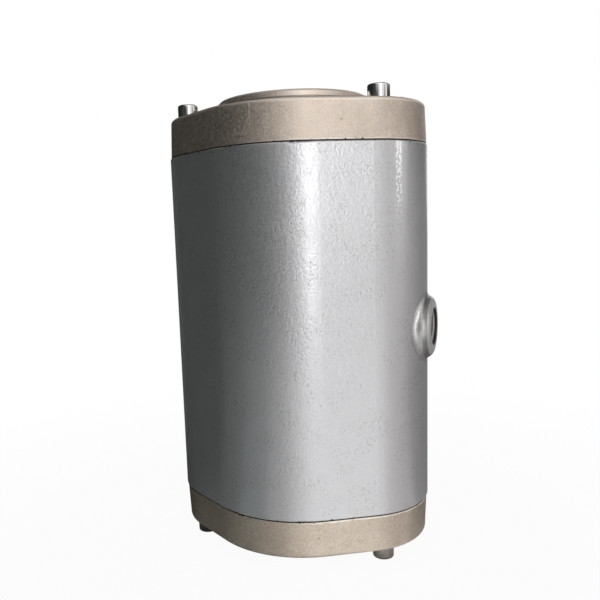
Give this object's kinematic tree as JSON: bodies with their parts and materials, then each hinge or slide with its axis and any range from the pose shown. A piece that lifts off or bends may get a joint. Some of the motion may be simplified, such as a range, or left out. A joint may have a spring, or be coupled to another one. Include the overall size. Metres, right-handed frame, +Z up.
{
  "type": "pinch valve",
  "caption": "Air-operated pinch valve: oval painted housing with a side air port, bare cast end covers with threaded pipe sockets, and a rubber sleeve that closes.",
  "frame": {"origin": "centre of the lower pipe face, on the pipe axis", "axes": "+Z up along the pipe axis, +X towards the air port, the sleeve flattens along Y"},
  "size_m": [0.1321, 0.1024, 0.218],
  "materials": {
    "housing_paint": "silver-grey hammered paint, satin",
    "cover_casting": "bare sand-cast aluminium, warm champagne tone",
    "gasket_sheet": "thin dark gasket sheet",
    "turned_aluminium": "turned, fine rings",
    "seal_rubber": "smooth black nitrile rubber",
    "sleeve_rubber": "black natural rubber, smooth bore",
    "screw_plating": "bright nickel-plated steel"
  },
  "bodies": {
    "valve_body": {"housing": "housing_paint", "bottom_cover": "cover_casting", "top_cover": "cover_casting", "bottom_gasket": "gasket_sheet", "top_gasket": "gasket_sheet", "bottom_clamp_bush": "turned_aluminium", "top_clamp_bush": "turned_aluminium", "bottom_seal_ring": "seal_rubber", "top_seal_ring": "seal_rubber", "sleeve": "sleeve_rubber", "bottom_screw_front_right": "screw_plating", "bottom_screw_front_left": "screw_plating", "bottom_screw_rear_right": "screw_plating", "bottom_screw_rear_left": "screw_plating", "top_screw_front_right": "screw_plating", "top_screw_front_left": "screw_plating", "top_screw_rear_right": "screw_plating", "top_screw_rear_left": "screw_plating"},
    "front_wall": {"sleeve_front_wall": "sleeve_rubber"},
    "rear_wall": {"sleeve_rear_wall": "sleeve_rubber"}
  },
  "joints": [
    {"name": "pinch_front", "type": "slide", "parent": "valve_body", "child": "front_wall", "axis": [0, 1, 0], "range_m": [0, 0.0249], "deforming": ["sleeve_front_wall"]},
    {"name": "pinch_rear", "type": "slide", "parent": "valve_body", "child": "rear_wall", "axis": [0, -1, 0], "range_m": [0, 0.0249], "deforming": ["sleeve_rear_wall"]}
  ],
  "couplings": [
    {"joint": "pinch_rear", "follows": "pinch_front", "ratio": 1}
  ]
}
